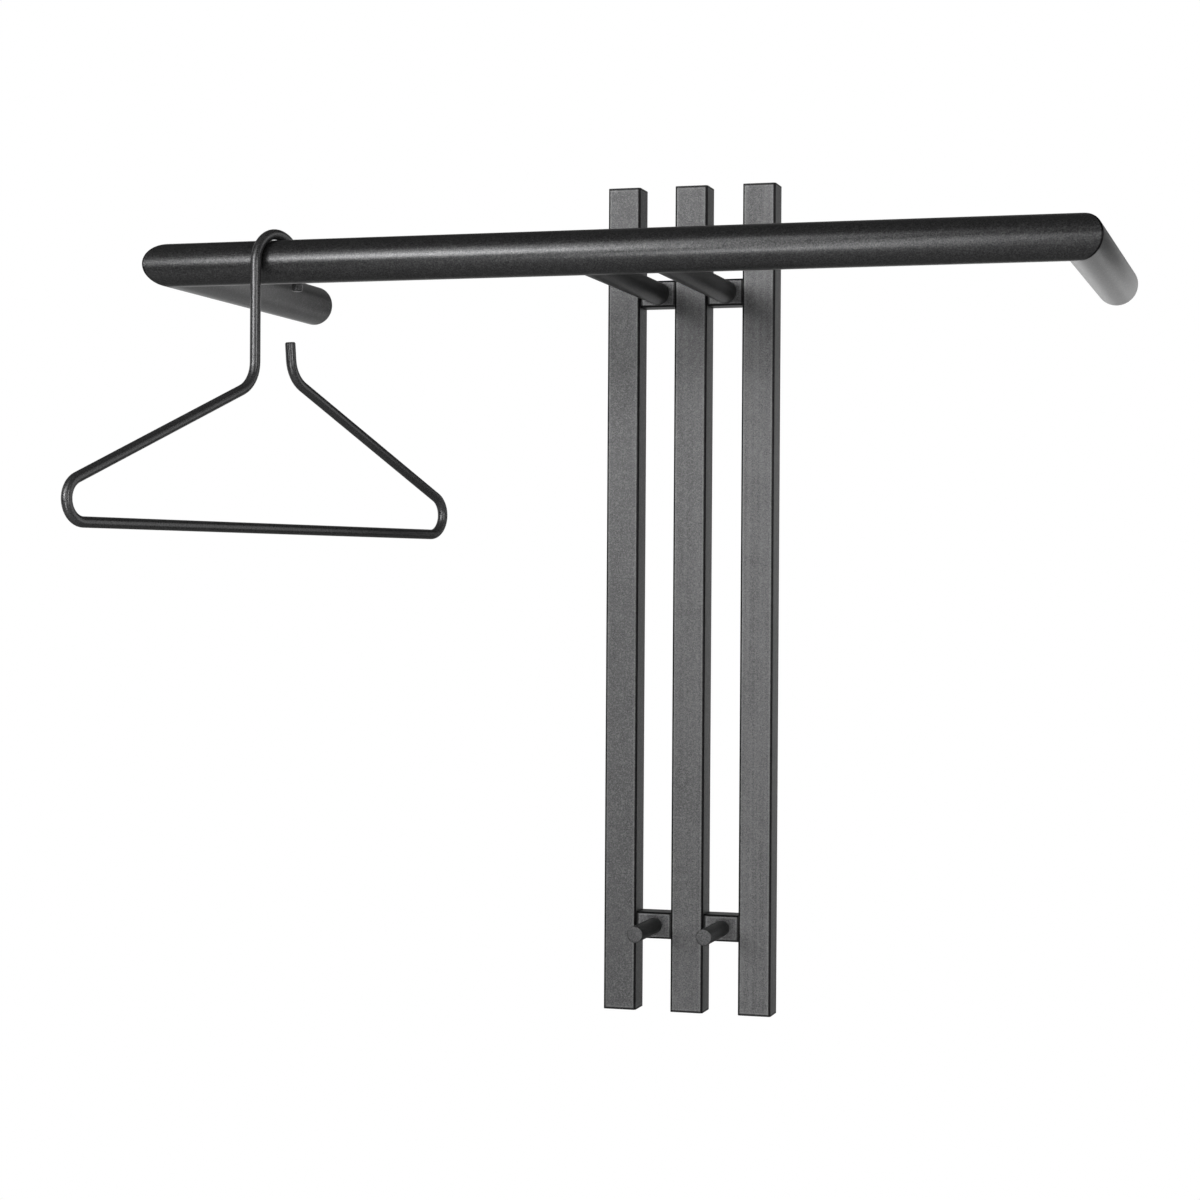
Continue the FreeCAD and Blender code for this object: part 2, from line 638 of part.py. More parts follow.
def check(doc, bodies):
    """Stop unless every object is sound, every sketch is fixed and every pocket cuts something."""
    faults = []
    for item in doc.Objects:
        if "Invalid" in item.State or "Error" in item.State:
            faults.append(f"{item.Name}: {item.State}")
        if item.TypeId == "Sketcher::SketchObject" and item.solve() != 0:
            faults.append(f"{item.Name}: its constraints don't solve")
        if item.TypeId == "PartDesign::Pocket":
            if item.Shape.Volume >= item.BaseFeature.Shape.Volume * 0.99999:
                faults.append(f"{item.Name}: cuts nothing")
    for body in bodies:
        if body.Shape.isNull() or not body.Shape.isValid() or not body.Shape.Solids:
            faults.append(f"{body.Label}: no sound solid")
    if faults:
        raise RuntimeError("; ".join(faults))


def export(bodies):
    os.makedirs("parts", exist_ok=True)
    for body in bodies:
        body.Shape.exportStep(os.path.join("parts", f"{body.Label}.step"))


def main():
    doc = FreeCAD.newDocument("wall_coat_rack")
    sheet = fill_sheet(doc)
    bodies = build(doc, sheet)
    check(doc, bodies)
    export(bodies)
    print(len(bodies), "parts written")


main()
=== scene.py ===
"""Dress the wall coat rack: coated steel, softened mitres, weld fillets, studio and camera."""

import math

import bpy
from bpy.props import FloatProperty, FloatVectorProperty, IntProperty, PointerProperty
from mathutils import Matrix, Vector


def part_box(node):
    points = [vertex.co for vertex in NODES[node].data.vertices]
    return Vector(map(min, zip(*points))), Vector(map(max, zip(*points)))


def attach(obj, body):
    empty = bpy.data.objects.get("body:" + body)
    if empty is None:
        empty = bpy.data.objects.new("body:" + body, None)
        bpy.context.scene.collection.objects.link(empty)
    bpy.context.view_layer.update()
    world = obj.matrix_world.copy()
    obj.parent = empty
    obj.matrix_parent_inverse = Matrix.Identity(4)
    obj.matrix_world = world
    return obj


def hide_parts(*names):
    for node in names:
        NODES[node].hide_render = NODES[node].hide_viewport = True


bl_info = {
    "name": "Wall Coat Rack",
    "version": (1, 0, 0),
    "blender": (4, 5, 0),
    "location": "View3D > Sidebar > Coat Rack",
    "description": "Finishes and fine pieces for a wall coat rack with a mitred rail and a rod hanger",
    "category": "Add Mesh",
}

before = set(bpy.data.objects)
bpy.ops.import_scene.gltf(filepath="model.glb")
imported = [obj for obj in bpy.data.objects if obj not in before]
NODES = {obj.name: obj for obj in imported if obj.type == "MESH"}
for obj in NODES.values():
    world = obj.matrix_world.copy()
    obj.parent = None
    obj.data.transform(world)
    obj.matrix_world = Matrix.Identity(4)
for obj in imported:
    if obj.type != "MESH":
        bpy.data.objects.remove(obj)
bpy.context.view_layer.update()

RAIL_LOW, RAIL_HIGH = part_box("front_rail")
RETURN_LOW, RETURN_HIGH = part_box("return_left")
ARM_LOW, ARM_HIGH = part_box("arm_left")
RAIL_RADIUS = (RAIL_HIGH.z - RAIL_LOW.z) / 2
RAIL_LINE = (RAIL_HIGH.y + RAIL_LOW.y) / 2
RETURN_LINE = RETURN_HIGH.x - RAIL_RADIUS
ARM_RADIUS = (ARM_HIGH.z - ARM_LOW.z) / 2
ARM_LINE = (ARM_HIGH.x + ARM_LOW.x) / 2
RACK_MIDDLE = Vector((0.0, -0.1, -0.2))

# Points closer than the gap are one; a point this near to a mitre's plane is on it
WELDING_GAP = 0.00002
MITRE_TOLERANCE = 0.00005
SMOOTH_ANGLE = math.radians(35.0)
WELD_SMOOTH_ANGLE = math.radians(60.0)
MITRE_STEPS = 3
PEG_SIDES = 72
PEG_RIM_STEPS = 4
PEG_FACE_INSET = 0.3
ARM_WELD_SIDES = 64
ARM_WELD_STEPS = 3

# Colours of the coat's flecks, of the painted shade lines along its edges and mitres, and of the
# studio's white, which also paints the edges' glint
FLECK_GREY = (0.25, 0.25, 0.25)
FLECK_ZINC = (0.7, 0.7, 0.7)
PAINTED_SHADE_BLACK = (0.004, 0.004, 0.004, 1.0)
WHITE = (1.0, 1.0, 1.0, 1.0)

# The coat's clouds, its patches and its upright streaks, to the metre
CLOUDS = 26.0
PATCHES = 190.0
STREAKS = (380.0, 380.0, 5.0)
# How much the fine grain changes the coat's colour and its roughness
GRAIN_LIFT = 0.72
GRAIN_GLOSS = 0.12
# How far a fleck stands out beside the fine grain
FLECK_RISE = 0.35

# Each upright: its painted light, the frame coat's colour made lighter or darker, and how strong its
# streaks are
UPRIGHT_PAINTED_LIGHT_AND_STREAKS = (("left", 0.96, 0.05), ("middle", 1.08, 0.08), ("right", 1.2, 0.14))


# Sizes, colours and levels that a user would change

class RackShape(bpy.types.PropertyGroup):
    tube_wall: FloatProperty(
        name="Tube Wall", description="Wall of the rail's and returns' tube",
        default=0.0015, unit="LENGTH", precision=4)
    mitre_rounding: FloatProperty(
        name="Mitre Rounding", description="Rounding of the ground mitre between rail and return",
        default=0.0009, unit="LENGTH", precision=4)
    tube_sides: IntProperty(
        name="Tube Sides", description="Facets round the rail", default=96, min=24)
    peg_rim: FloatProperty(
        name="Peg Rim", description="Rounding of a peg's front rim",
        default=0.0006, unit="LENGTH", precision=4)
    weld_radius: FloatProperty(
        name="Weld Radius", description="Radius of the weld fillet where an arm meets the rail",
        default=0.0011, unit="LENGTH", precision=4)


class RackFinish(bpy.types.PropertyGroup):
    frame_colour: FloatVectorProperty(
        name="Frame Coat", description="Colour of the uprights' and crossbars' powder coat",
        subtype="COLOR", size=3, min=0.0, max=1.0, default=(0.13, 0.13, 0.132))
    rail_colour: FloatVectorProperty(
        name="Rail Coat", description="Colour of the powder coat on the rail and all other round pieces",
        subtype="COLOR", size=3, min=0.0, max=1.0, default=(0.115, 0.115, 0.117))
    hanger_colour: FloatVectorProperty(
        name="Hanger Coat", description="Colour of the hanger's coat",
        subtype="COLOR", size=3, min=0.0, max=1.0, default=(0.16, 0.16, 0.162))
    steel_colour: FloatVectorProperty(
        name="Screw Zinc", description="Colour of the screws' zinc plating",
        subtype="COLOR", size=3, min=0.0, max=1.0, default=(0.56, 0.56, 0.58))
    coat_roughness: FloatProperty(
        name="Coat Roughness", description="Roughness of the powder coat",
        subtype="FACTOR", min=0.0, max=1.0, default=0.44)
    rail_roughness: FloatProperty(
        name="Rail Roughness", description="Roughness of the rail's and returns' coat",
        subtype="FACTOR", min=0.0, max=1.0, default=0.34)
    hanger_roughness: FloatProperty(
        name="Hanger Roughness", description="Roughness of the hanger's coat",
        subtype="FACTOR", min=0.0, max=1.0, default=0.32)
    sheen_weight: FloatProperty(
        name="Sheen", description="Weight of the rail coat's smooth outer skin, seen at a slant",
        subtype="FACTOR", min=0.0, max=1.0, default=0.3)
    sheen_roughness: FloatProperty(
        name="Sheen Roughness", description="Roughness of that outer skin",
        subtype="FACTOR", min=0.0, max=1.0, default=0.25)
    # Width of the painted shade line along the square tubes' edges
    edge_line: FloatProperty(
        name="Edge Line", description="Width of the darker line along the square tubes' edges",
        default=0.0015, unit="LENGTH", precision=4)
    grain_size: FloatProperty(
        name="Grain Size", description="Width of the coat's grains",
        default=0.00085, unit="LENGTH", precision=5)
    grain_depth: FloatProperty(
        name="Grain Depth", description="Depth of the coat's grains",
        default=0.00003, unit="LENGTH", precision=5)


class RackStudio(bpy.types.PropertyGroup):
    floor_drop: FloatProperty(
        name="Floor Drop", description="From the rail down to the floor",
        default=1.7, unit="LENGTH")
    floor_colour: FloatVectorProperty(
        name="Floor Colour", description="Colour of the floor",
        subtype="COLOR", size=3, min=0.0, max=1.0, default=(0.4, 0.4, 0.4))
    lamp_distance: FloatProperty(
        name="Lamp Distance", description="From the rack's middle to each light",
        default=3.1, unit="LENGTH")
    light_level: FloatProperty(
        name="Light Level", description="Brightness of all the lights together", default=1.0, min=0.0)
    room_level: FloatProperty(
        name="Room Level", description="Brightness of the room that the coat reflects",
        default=1.0, min=0.0)
    floor_in_coat: FloatProperty(
        name="Floor in the Coat", description="How much of the floor's white the coat reflects",
        subtype="FACTOR", min=0.0, max=1.0, default=0.1)


# Each light: name, degrees to the right of the front, degrees up, width, height, brightness
LIGHTS = (
    ("key_softbox", -25.0, 10.0, 1.1, 0.8, 6.0),
    ("key_upper_softbox", -25.0, 20.0, 1.1, 0.8, 3.0),
    ("key_top_softbox", -25.0, 34.0, 1.1, 0.8, 1.0),
    ("left_fill", -36.0, 14.0, 0.8, 1.2, 1.2),
    ("front_low_screen", -6.0, -20.0, 0.8, 0.8, 4.2),
    ("front_high_screen", -6.0, 36.0, 0.8, 1.1, 1.2),
    ("front_screen", 3.0, -6.0, 0.5, 0.6, 4.2),
    ("right_screen", 8.0, 8.0, 0.8, 0.8, 1.5),
    ("side_strip", 48.0, 5.0, 0.6, 1.4, 5.0),
)

# Each lit panel of the room behind: its range across, its range upwards, and its brightness.
# The middle ones lie on both sides, and their range runs from the middle outwards; the range of
# the side ones runs to the right. A direction is given as parts of a unit vector.
MIDDLE_PANELS = (
    (0.12, 0.26, -0.25, 0.25, 0.6),
    (-1.0, 0.3, 0.3, 0.6, 0.16),
    (-1.0, 0.3, -0.6, -0.25, 0.5),
)
SIDE_PANELS = (
    (-2.0, -0.32, -0.4, 0.4, 0.6),
    (0.62, 2.0, -0.5, 0.5, 0.65),
)
PANEL_SOFTNESS = 0.06
# An end for a range that stays open: no part of a unit vector reaches it
OPEN_END = 2.0
# The ceiling: from how far up, and its brightness
CEILING = (0.6, 0.05)
# The lit wall straight behind: its reach from the middle, and its brightness
WALL = (0.19, 1.1)

# The floor is a disc, and turns from nearly white to white between two distances from its middle
FLOOR_RADIUS = 4.0
FLOOR_SIDES = 96
FLOOR_FADE = (0.8, 3.6)
FLOOR_NEAR_WHITE = 0.86
FLOOR_ROUGHNESS = 0.9

# The camera of the photograph, with its turns in radians
CAMERA_PLACE = (0.4735, -1.8987, -0.2241)
CAMERA_YAW, CAMERA_PITCH, CAMERA_ROLL = 0.2816, -0.0035, 0.0064
CAMERA_LENS, CAMERA_SENSOR = 77.38, 36.0


# Modelling by hand

def deselect():
    bpy.ops.object.select_all(action="DESELECT")


def select_only(piece):
    deselect()
    piece.select_set(True)
    bpy.context.view_layer.objects.active = piece


def edit():
    bpy.ops.object.mode_set(mode="EDIT")


def leave_edit():
    bpy.ops.object.mode_set(mode="OBJECT")


def pick(piece, kind, wanted):
    """Select the edges or the polygons of a piece that a test takes, and nothing else."""
    bpy.context.tool_settings.mesh_select_mode = (False, kind == "edges", kind == "polygons")
    edit()
    bpy.ops.mesh.select_all(action="DESELECT")
    leave_edit()
    for part in getattr(piece.data, kind):
        part.select = wanted(part)
    edit()


def apply_modifier(piece, kind, **settings):
    modifier = piece.modifiers.new(kind.title(), kind)
    for key, value in settings.items():
        setattr(modifier, key, value)
    bpy.context.view_layer.objects.active = piece
    bpy.ops.object.modifier_apply(modifier=modifier.name)


def settle(piece, name, body, material):
    """Bring a finished piece's place into its mesh, and give it its name, coat and body."""
    piece.name = name
    piece.data.name = name
    select_only(piece)
    bpy.ops.object.transform_apply(location=True, rotation=True, scale=True)
    piece.data.materials.clear()
    piece.data.materials.append(bpy.data.materials[material])
    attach(piece, body)


def straight_tube(start, end, radius, sides):
    """An open round tube between two points."""
    run = end - start
    turn = run.to_track_quat("Z", "Y").to_euler()
    deselect()
    bpy.ops.mesh.primitive_cylinder_add(
        vertices=sides, radius=radius, depth=run.length, end_fill_type="NOTHING",
        location=(start + end) / 2, rotation=turn)
    tube = bpy.context.active_object
    bpy.ops.object.transform_apply(location=True, rotation=True, scale=True)
    return tube


def slice_tube(tube, place, normal):
    """Cut a tube on a plane and keep the side that the normal points away from."""
    select_only(tube)
    edit()
    bpy.ops.mesh.select_all(action="SELECT")
    bpy.ops.mesh.bisect(plane_co=place, plane_no=normal, clear_outer=True, use_fill=False)
    leave_edit()


# The coat's node groups

def new_group(name, inputs, outputs):
    group = bpy.data.node_groups.new(name, "ShaderNodeTree")
    for label, kind, value in inputs:
        socket = group.interface.new_socket(label, in_out="INPUT", socket_type=kind)
        if value is not None:
            socket.default_value = value
    for label, kind in outputs:
        group.interface.new_socket(label, in_out="OUTPUT", socket_type=kind)
    return group, group.nodes.new("NodeGroupInput"), group.nodes.new("NodeGroupOutput")


def add_node(tree, kind, settings=(), **inputs):
    node = tree.nodes.new(kind)
    for key, value in dict(settings).items():
        setattr(node, key, value)
    for key, value in inputs.items():
        socket = node.inputs[key]
        if isinstance(value, bpy.types.NodeSocket):
            tree.links.new(value, socket)
        else:
            socket.default_value = value
    return node


def math_node(tree, operation, first, second=0.5, clamp=False):
    node = tree.nodes.new("ShaderNodeMath")
    node.operation = operation
    node.use_clamp = clamp
    for socket, value in zip(node.inputs, (first, second)):
        if isinstance(value, bpy.types.NodeSocket):
            tree.links.new(value, socket)
        else:
            socket.default_value = value
    return node.outputs["Value"]


def vector_node(tree, operation, first, second=None):
    node = tree.nodes.new("ShaderNodeVectorMath")
    node.operation = operation
    tree.links.new(first, node.inputs[0])
    if second is not None:
        tree.links.new(second, node.inputs[1])
    return node.outputs["Vector"]


def spread(tree, value, low, high, out_low=0.0, out_high=1.0):
    """Bring a value from one range to another, and hold it at the ends."""
    node = tree.nodes.new("ShaderNodeMapRange")
    tree.links.new(value, node.inputs["Value"])
    node.inputs["From Min"].default_value = low
    node.inputs["From Max"].default_value = high
    node.inputs["To Min"].default_value = out_low
    node.inputs["To Max"].default_value = out_high
    return node.outputs["Result"]


def mix_colour(tree, share, first, second):
    node = tree.nodes.new("ShaderNodeMix")
    node.data_type = "RGBA"
    for label, value in (("Factor", share), ("A", first), ("B", second)):
        socket = next(s for s in node.inputs if s.name == label and s.enabled)
        if isinstance(value, bpy.types.NodeSocket):
            tree.links.new(value, socket)
        else:
            socket.default_value = value
    return next(s for s in node.outputs if s.name == "Result" and s.enabled)


def powder_group():
    """Grain, light flecks and slow mottling of a powder coat."""
    group, inside, out = new_group(
        "Powder Coat Grain",
        (("Vector", "NodeSocketVector", None),
         ("Color", "NodeSocketColor", (0.1, 0.1, 0.1, 1.0)),
         ("Fleck Color", "NodeSocketColor", (0.3, 0.3, 0.3, 1.0)),
         ("Grains per Metre", "NodeSocketFloat", 770.0),
         ("Flecks", "NodeSocketFloat", 0.5),
         ("Mottle", "NodeSocketFloat", 0.2),
         ("Streaks", "NodeSocketFloat", 0.0),
         ("Roughness", "NodeSocketFloat", 0.45),
         ("Roughness Spread", "NodeSocketFloat", 0.1)),
        (("Color", "NodeSocketColor"),
         ("Roughness", "NodeSocketFloat"),
         ("Height", "NodeSocketFloat")))
    place, fineness = inside.outputs["Vector"], inside.outputs["Grains per Metre"]
    grain = add_node(
        group, "ShaderNodeTexNoise", Vector=place, Scale=fineness, Detail=2.0, Roughness=0.6)
    flecks = add_node(group, "ShaderNodeTexVoronoi", Vector=place, Scale=fineness)
    clouds = add_node(
        group, "ShaderNodeTexNoise", Vector=place, Scale=CLOUDS, Detail=4.0, Roughness=0.6)
    patches = add_node(
        group, "ShaderNodeTexNoise", Vector=place, Scale=PATCHES, Detail=3.0, Roughness=0.65)
    drawn_out = add_node(group, "ShaderNodeMapping", Vector=place, Scale=STREAKS)
    streaks = add_node(
        group, "ShaderNodeTexNoise", Vector=drawn_out.outputs["Vector"], Scale=1.0,
        Detail=2.0, Roughness=0.5)

    # A cell is a fleck where its random number is over a half
    fleck_pick = add_node(group, "ShaderNodeSeparateColor", Color=flecks.outputs["Color"])
    fleck_mask = spread(group, fleck_pick.outputs["Red"], 0.55, 1.0)
    fleck_share = math_node(group, "MULTIPLY", fleck_mask, inside.outputs["Flecks"], clamp=True)
    grain_share = spread(group, grain.outputs["Fac"], 0.35, 0.7, -0.5, 0.5)
    mottle = math_node(group, "ADD", clouds.outputs["Fac"], patches.outputs["Fac"])
    mottle = spread(group, mottle, 0.6, 1.4, -1.0, 1.0)
    mottle = math_node(group, "MULTIPLY", mottle, inside.outputs["Mottle"])
    lift = math_node(group, "ADD", 1.0, mottle)
    streak = spread(group, streaks.outputs["Fac"], 0.3, 0.7, -1.0, 1.0)
    streak = math_node(group, "MULTIPLY", streak, inside.outputs["Streaks"])
    lift = math_node(group, "ADD", lift, streak)
    grain_lift = math_node(group, "MULTIPLY", grain_share, GRAIN_LIFT)
    lift = math_node(group, "ADD", lift, grain_lift)
    tinted = add_node(group, "ShaderNodeVectorMath", {"operation": "SCALE"})
    group.links.new(inside.outputs["Color"], tinted.inputs["Vector"])
    group.links.new(lift, tinted.inputs["Scale"])
    colour = mix_colour(group, fleck_share, tinted.outputs["Vector"], inside.outputs["Fleck Color"])
    group.links.new(colour, out.inputs["Color"])

    rough_change = math_node(group, "MULTIPLY", grain_share, inside.outputs["Roughness Spread"])
    rough = math_node(group, "ADD", inside.outputs["Roughness"], rough_change, clamp=True)
    group.links.new(rough, out.inputs["Roughness"])

    fleck_height = math_node(group, "MULTIPLY", fleck_mask, FLECK_RISE)
    height = math_node(group, "ADD", grain.outputs["Fac"], fleck_height)
    group.links.new(height, out.inputs["Height"])


def painted_edge_group():
    """Paint shade as a thin dark line along a square tube's rounded edges, and a painted highlight on
    its bank.
    """
    group, inside, out = new_group(
        "Edge Line",
        (("Vector", "NodeSocketVector", None),
         ("Middle", "NodeSocketVector", None),
         ("Half Size", "NodeSocketVector", None),
         ("Color", "NodeSocketColor", (0.1, 0.1, 0.1, 1.0)),
         ("Line Width", "NodeSocketFloat", 0.0016),
         ("Darkness", "NodeSocketFloat", 0.8),
         ("Glint", "NodeSocketFloat", 0.05)),
        (("Color", "NodeSocketColor"),))
    from_middle = vector_node(group, "SUBTRACT", inside.outputs["Vector"], inside.outputs["Middle"])
    size_off = vector_node(group, "ABSOLUTE", from_middle)
    room_left = vector_node(group, "SUBTRACT", inside.outputs["Half Size"], size_off)
    parts = add_node(group, "ShaderNodeSeparateXYZ", Vector=room_left)
    x, y, z = (parts.outputs[label] for label in "XYZ")
    total = math_node(group, "ADD", math_node(group, "ADD", x, y), z)
    farthest = math_node(group, "MAXIMUM", math_node(group, "MAXIMUM", x, y), z)
    from_edge = math_node(group, "SUBTRACT", total, farthest)
    share = math_node(group, "DIVIDE", from_edge, inside.outputs["Line Width"])
    # The painted shade line ends softly at its own width, and the painted highlight on its bank lies
    # just past that
    edge = spread(group, share, 1.08, 0.92)
    darker = math_node(group, "MULTIPLY", edge, inside.outputs["Darkness"])
    bank_start, bank_end = spread(group, share, 1.0, 1.2), spread(group, share, 1.9, 1.6)
    painted_glint = math_node(group, "MULTIPLY", bank_start, bank_end)
    painted_glint = math_node(group, "MULTIPLY", painted_glint, inside.outputs["Glint"])
    lit = mix_colour(group, painted_glint, inside.outputs["Color"], WHITE)
    colour = mix_colour(group, darker, lit, PAINTED_SHADE_BLACK)
    group.links.new(colour, out.inputs["Color"])


def painted_seam_group():
    """Paint shade as a fine dark line along the two ground mitres, where rail and return meet."""
    group, inside, out = new_group(
        "Mitre Seam",
        (("Vector", "NodeSocketVector", None),
         ("Mitre", "NodeSocketFloat", 0.0),
         ("Color", "NodeSocketColor", (0.1, 0.1, 0.1, 1.0)),
         ("Line Width", "NodeSocketFloat", 0.0018),
         ("Darkness", "NodeSocketFloat", 0.95)),
        (("Color", "NodeSocketColor"),))
    parts = add_node(group, "ShaderNodeSeparateXYZ", Vector=inside.outputs["Vector"])
    sideways = math_node(group, "ABSOLUTE", parts.outputs["X"])
    along = math_node(group, "ADD", sideways, parts.outputs["Y"])
    off = math_node(group, "ABSOLUTE", math_node(group, "SUBTRACT", along, inside.outputs["Mitre"]))
    share = math_node(group, "DIVIDE", off, inside.outputs["Line Width"])
    mitre_shade = spread(group, share, 0.9, 0.5)
    darker = math_node(group, "MULTIPLY", mitre_shade, inside.outputs["Darkness"])
    colour = mix_colour(group, darker, inside.outputs["Color"], PAINTED_SHADE_BLACK)
    group.links.new(colour, out.inputs["Color"])


def place_group(tree, name, where, values):
    """Put a node group into a material, on the piece's own coordinates."""
    node = tree.nodes.new("ShaderNodeGroup")
    node.node_tree = bpy.data.node_groups[name]
    tree.links.new(where.outputs["Object"], node.inputs["Vector"])
    for label, value in values.items():
        node.inputs[label].default_value = value
    return node


def coat_material(name, colour, finish, flecks, mottle, roughness, fleck_colour=FLECK_GREY, metallic=0.8,
                  streaks=0.0, sheen=0.0, relief=1.0, square=None, mitre=None):
    """A powder coat.

    square is the box of a square tube with painted shade and a painted highlight along its edges, and
    mitre is |x| + y on the rail's two seams, where a painted shade line runs.
    """
    material = bpy.data.materials.new(name)
    material.use_nodes = True
    tree = material.node_tree
    shader = next(n for n in tree.nodes if n.type == "BSDF_PRINCIPLED")
    where = tree.nodes.new("ShaderNodeTexCoord")
    grain = place_group(tree, "Powder Coat Grain", where, {
        "Color": (*colour, 1.0),
        "Fleck Color": (*fleck_colour, 1.0),
        "Grains per Metre": 1.0 / finish.grain_size,
        "Flecks": flecks,
        "Mottle": mottle,
        "Streaks": streaks,
        "Roughness": roughness,
        "Roughness Spread": GRAIN_GLOSS,
    })
    coat_colour = grain.outputs["Color"]
    if square:
        low, high = square
        edge = place_group(tree, "Edge Line", where, {
            "Middle": (low + high) / 2,
            "Half Size": (high - low) / 2,
            "Line Width": finish.edge_line,
        })
        tree.links.new(coat_colour, edge.inputs["Color"])
        coat_colour = edge.outputs["Color"]
    # A painted shade line along the rail's mitres
    if mitre is not None:
        mitre_shade = place_group(tree, "Mitre Seam", where, {"Mitre": mitre})
        tree.links.new(coat_colour, mitre_shade.inputs["Color"])
        coat_colour = mitre_shade.outputs["Color"]
    tree.links.new(coat_colour, shader.inputs["Base Color"])
    tree.links.new(grain.outputs["Roughness"], shader.inputs["Roughness"])
    shader.inputs["Metallic"].default_value = metallic
    shader.inputs["Coat Weight"].default_value = sheen
    shader.inputs["Coat Roughness"].default_value = finish.sheen_roughness
    bump = tree.nodes.new("ShaderNodeBump")
    bump.inputs["Distance"].default_value = finish.grain_depth
    bump.inputs["Strength"].default_value = relief
    tree.links.new(grain.outputs["Height"], bump.inputs["Height"])
    tree.links.new(bump.outputs["Normal"], shader.inputs["Normal"])
    return material


def whole_upright(side):
    """The box of an upright with its end plates."""
    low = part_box(f"upright_{side}_bottom_plate")[0]
    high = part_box(f"upright_{side}_top_plate")[1]
    return low, high


# One operator for each piece or group of like pieces

class RACK_OT_coats(bpy.types.Operator):
    """Mix the powder coats and the zinc, and coat the steel pieces"""
    bl_idname = "rack.coats"
    bl_label = "Coat the Steel"

    def execute(self, context):
        finish = context.scene.rack_finish
        powder_group()
        painted_edge_group()
        painted_seam_group()
        # The arms and other round pieces take the rail's colour, darker than the frame's; on the arms
        # that darker colour is painted shade
        coats = {"round": coat_material(
            "Frame Powder Coat", finish.rail_colour, finish, flecks=0.3, mottle=0.1,
            roughness=finish.coat_roughness)}
        coat_material(
            "Rail Powder Coat", finish.rail_colour, finish, flecks=0.45, mottle=0.12,
            roughness=finish.rail_roughness, sheen=finish.sheen_weight, mitre=RAIL_LINE - RETURN_LINE)
        for side, painted_light, streaks in UPRIGHT_PAINTED_LIGHT_AND_STREAKS:
            # Each upright's coat is the frame colour lightened or darkened: painted light
            colour = [painted_light * part for part in finish.frame_colour]
            coats[f"upright_{side}"] = coat_material(
                f"Upright Coat {side.title()}", colour, finish, flecks=0.55, mottle=0.14,
                roughness=finish.coat_roughness, streaks=streaks, square=whole_upright(side))
        for row in ("upper", "lower"):
            for side in ("left", "right"):
                name = f"crossbar_{row}_{side}"
                coats[name] = coat_material(
                    f"Crossbar Coat {row.title()} {side.title()}", finish.frame_colour, finish,
                    flecks=0.4, mottle=0.14, roughness=finish.coat_roughness, square=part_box(name))
        coats["hanger"] = coat_material(
            "Hanger Powder Coat", finish.hanger_colour, finish, flecks=0.1, mottle=0.05,
            roughness=finish.hanger_roughness, metallic=0.7, relief=0.12)
        coats["screws"] = coat_material(
            "Screw Zinc", finish.steel_colour, finish, flecks=0.3, mottle=0.1, roughness=0.35,
            fleck_colour=FLECK_ZINC, metallic=1.0)
        for name, node in NODES.items():
            fitting = [key for key in coats if name.startswith(key) or name.endswith(key)]
            coat = coats[fitting[0] if fitting else "round"]
            for slot in node.material_slots:
                slot.material = coat
        return {"FINISHED"}


class RACK_OT_rail(bpy.types.Operator):
    """Model the rail and its returns as one tube with ground, softened mitres"""
    bl_idname = "rack.rail"
    bl_label = "Rail and Returns"

    def execute(self, context):
        shape = context.scene.rack_shape
        sides, spare = shape.tube_sides, 2 * RAIL_RADIUS
        rail = straight_tube(
            Vector((RETURN_LINE - spare, RAIL_LINE, 0.0)), Vector((spare - RETURN_LINE, RAIL_LINE, 0.0)),
            RAIL_RADIUS, sides)
        tubes = [rail]
        for across, inwards in ((RETURN_LINE, 1.0), (-RETURN_LINE, -1.0)):
            corner = Vector((across, RAIL_LINE, 0.0))
            slice_tube(rail, corner, (-inwards, 1.0, 0.0))
            piece = straight_tube(
                Vector((across, RAIL_LINE - spare, 0.0)), Vector((across, 0.0, 0.0)), RAIL_RADIUS, sides)
            slice_tube(piece, corner, (inwards, -1.0, 0.0))
            tubes.append(piece)
        deselect()
        for tube in tubes:
            tube.select_set(True)
        context.view_layer.objects.active = rail
        bpy.ops.object.join()
        edit()
        bpy.ops.mesh.select_all(action="SELECT")
        bpy.ops.mesh.remove_doubles(threshold=WELDING_GAP)
        bpy.ops.mesh.normals_make_consistent(inside=False)
        leave_edit()

        corners = rail.data.vertices

        def on_one_mitre(edge):
            """True for an edge of either mitre, but not for one that runs from mitre to mitre."""
            first, second = (corners[v].co for v in edge.vertices)
            off = [abs(abs(end.x) + end.y + RETURN_LINE - RAIL_LINE) for end in (first, second)]
            return max(off) < MITRE_TOLERANCE and first.x * second.x > 0

        pick(rail, "edges", on_one_mitre)
        bpy.ops.mesh.bevel(offset=shape.mitre_rounding, segments=MITRE_STEPS, affect="EDGES")
        leave_edit()
        apply_modifier(rail, "SOLIDIFY", thickness=shape.tube_wall, offset=-1.0)
        span = -2 * (RETURN_LOW.x + WELDING_GAP)
        bpy.ops.transform.resize(
            value=(span / rail.dimensions.x, 1.0, 1.0), center_override=(0.0, 0.0, 0.0))
        settle(rail, "rail_and_returns", "rack", "Rail Powder Coat")
        bpy.ops.object.shade_smooth_by_angle(angle=SMOOTH_ANGLE)
        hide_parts("front_rail", "return_left", "return_right")
        return {"FINISHED"}


